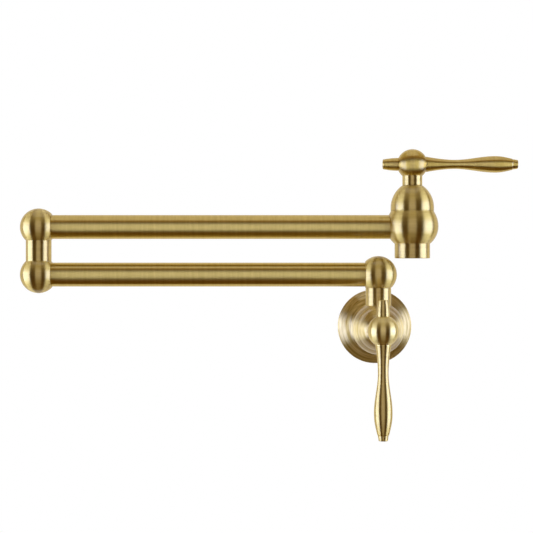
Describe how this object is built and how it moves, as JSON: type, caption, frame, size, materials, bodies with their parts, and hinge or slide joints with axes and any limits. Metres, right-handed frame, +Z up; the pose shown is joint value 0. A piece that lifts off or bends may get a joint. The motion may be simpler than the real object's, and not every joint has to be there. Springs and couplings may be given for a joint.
{
  "type": "wall mounted pot filler",
  "caption": "Folding wall mounted pot filler: round flange, lever valve, swivel balls, folding tube arm, and a down-turned spout with its own lever valve.",
  "frame": {"origin": "centre of the inlet on the wall face", "axes": "+X along the folded arm, from the elbow towards the spout; +Y into the wall; +Z up"},
  "size_m": [0.3956, 0.1229, 0.2263],
  "materials": {
    "brushed_gold": "fine brushed gold plating over brass, satin",
    "raw_brass": "machined, unplated",
    "stainless_steel": "turned stainless steel",
    "white_ceramic": "lapped",
    "black_rubber": "matt",
    "white_nylon": "moulded"
  },
  "bodies": {
    "wall_mount": {"wall_flange": "brushed_gold", "flange_gasket": "black_rubber", "flange_grub_screw": "stainless_steel", "inlet_nipple": "raw_brass", "wall_valve_body": "brushed_gold", "wall_seat_seal": "black_rubber", "wall_fixed_disc": "white_ceramic", "wall_cartridge_body": "raw_brass", "wall_bonnet": "brushed_gold", "riser_pipe": "brushed_gold", "riser_lower_o_ring": "black_rubber", "riser_upper_o_ring": "black_rubber", "riser_slip_washer": "white_nylon"},
    "wall_handle": {"wall_moving_disc": "white_ceramic", "wall_spindle": "raw_brass", "wall_spindle_o_ring": "black_rubber", "wall_handle_hub": "brushed_gold", "wall_handle_lever": "brushed_gold", "wall_handle_finial": "brushed_gold", "wall_handle_grub_screw": "stainless_steel"},
    "lower_arm": {"pivot_ball": "brushed_gold", "pivot_retaining_screw": "stainless_steel", "lower_arm_tube": "brushed_gold", "lower_elbow_ball": "brushed_gold", "elbow_pipe": "brushed_gold", "elbow_lower_o_ring": "black_rubber", "elbow_upper_o_ring": "black_rubber", "elbow_slip_washer": "white_nylon"},
    "upper_arm": {"upper_elbow_ball": "brushed_gold", "elbow_retaining_screw": "stainless_steel", "upper_arm_tube": "brushed_gold", "spout_valve_body": "brushed_gold", "spout_seat_seal": "black_rubber", "spout_fixed_disc": "white_ceramic", "spout_cartridge_body": "raw_brass", "spout_bonnet": "brushed_gold", "aerator_washer": "black_rubber", "aerator_housing": "raw_brass", "aerator_insert": "white_nylon"},
    "spout_handle": {"spout_moving_disc": "white_ceramic", "spout_spindle": "raw_brass", "spout_spindle_o_ring": "black_rubber", "spout_handle_hub": "brushed_gold", "spout_handle_lever": "brushed_gold", "spout_handle_finial": "brushed_gold", "spout_handle_grub_screw": "stainless_steel"}
  },
  "joints": [
    {"name": "wall_handle_turn", "type": "hinge", "parent": "wall_mount", "child": "wall_handle", "pos_m": [0, -0.0928, 0], "axis": [0, -1, 0], "range_deg": [0, 90]},
    {"name": "riser_swivel", "type": "hinge", "parent": "wall_mount", "child": "lower_arm", "pos_m": [0, -0.043, 0.0428], "axis": [0, 0, 1], "range_deg": [0, 180]},
    {"name": "elbow_swivel", "type": "hinge", "parent": "lower_arm", "child": "upper_arm", "pos_m": [-0.27, -0.043, 0.0806], "axis": [0, 0, 1], "continuous": true},
    {"name": "spout_handle_turn", "type": "hinge", "parent": "upper_arm", "child": "spout_handle", "pos_m": [0.027, -0.043, 0.1304], "axis": [0, 0, 1], "range_deg": [-90, 0]}
  ]
}
